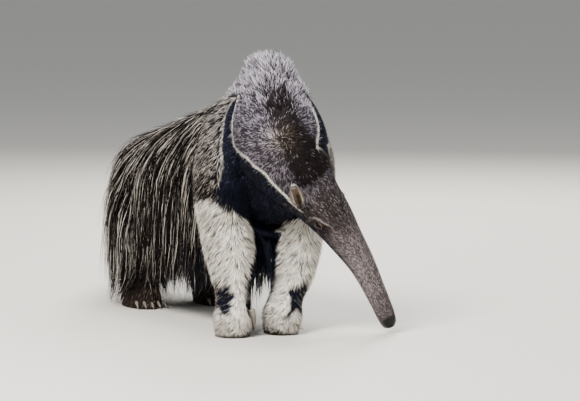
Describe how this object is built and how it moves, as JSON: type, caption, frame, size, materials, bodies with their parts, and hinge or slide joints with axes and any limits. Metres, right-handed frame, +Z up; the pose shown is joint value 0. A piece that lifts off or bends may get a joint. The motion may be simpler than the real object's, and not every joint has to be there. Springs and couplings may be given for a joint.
{
  "type": "giant anteater",
  "caption": "Life-size still model of a giant anteater standing with its long snout lowered to the ground, with a long bristly coat and a plumed tail.",
  "frame": {"origin": "the middle of the floor under the animal's bounding box", "axes": "+Z up, the animal faces -Y with its right side at -X, and its length runs along Y"},
  "size_m": [0.6866, 1.7966, 0.5828],
  "materials": {
    "coat_dark": "long coarse dark brown and black hair with pale strands",
    "coat_grey": "short salt-and-pepper grey-brown fur",
    "coat_cream": "cream-white fur with dark strands",
    "horn": "dull grey-brown horn",
    "eye": "wet dark eye"
  },
  "bodies": {
    "root": {"claw_1_hind_left": "horn", "claw_1_hind_right": "horn", "claw_2_hind_left": "horn", "claw_2_hind_right": "horn", "claw_3_hind_left": "horn", "claw_3_hind_right": "horn", "claw_4_hind_left": "horn", "claw_4_hind_right": "horn", "claw_5_hind_left": "horn", "claw_5_hind_right": "horn", "claw_inner_left": "horn", "claw_inner_right": "horn", "claw_long_left": "horn", "claw_long_right": "horn", "claw_outer_left": "horn", "claw_outer_right": "horn", "ear_left": "coat_grey", "ear_right": "coat_grey", "eye_left": "eye", "eye_right": "eye", "forefoot_left": "coat_cream", "forefoot_right": "coat_cream", "foreleg_left": "coat_cream", "foreleg_right": "coat_cream", "head": "coat_grey", "hindfoot_left": "coat_dark", "hindfoot_right": "coat_dark", "hindleg_left": "coat_dark", "hindleg_right": "coat_dark", "neck": "coat_grey", "tail": "coat_dark", "torso": "coat_dark"}
  },
  "joints": []
}
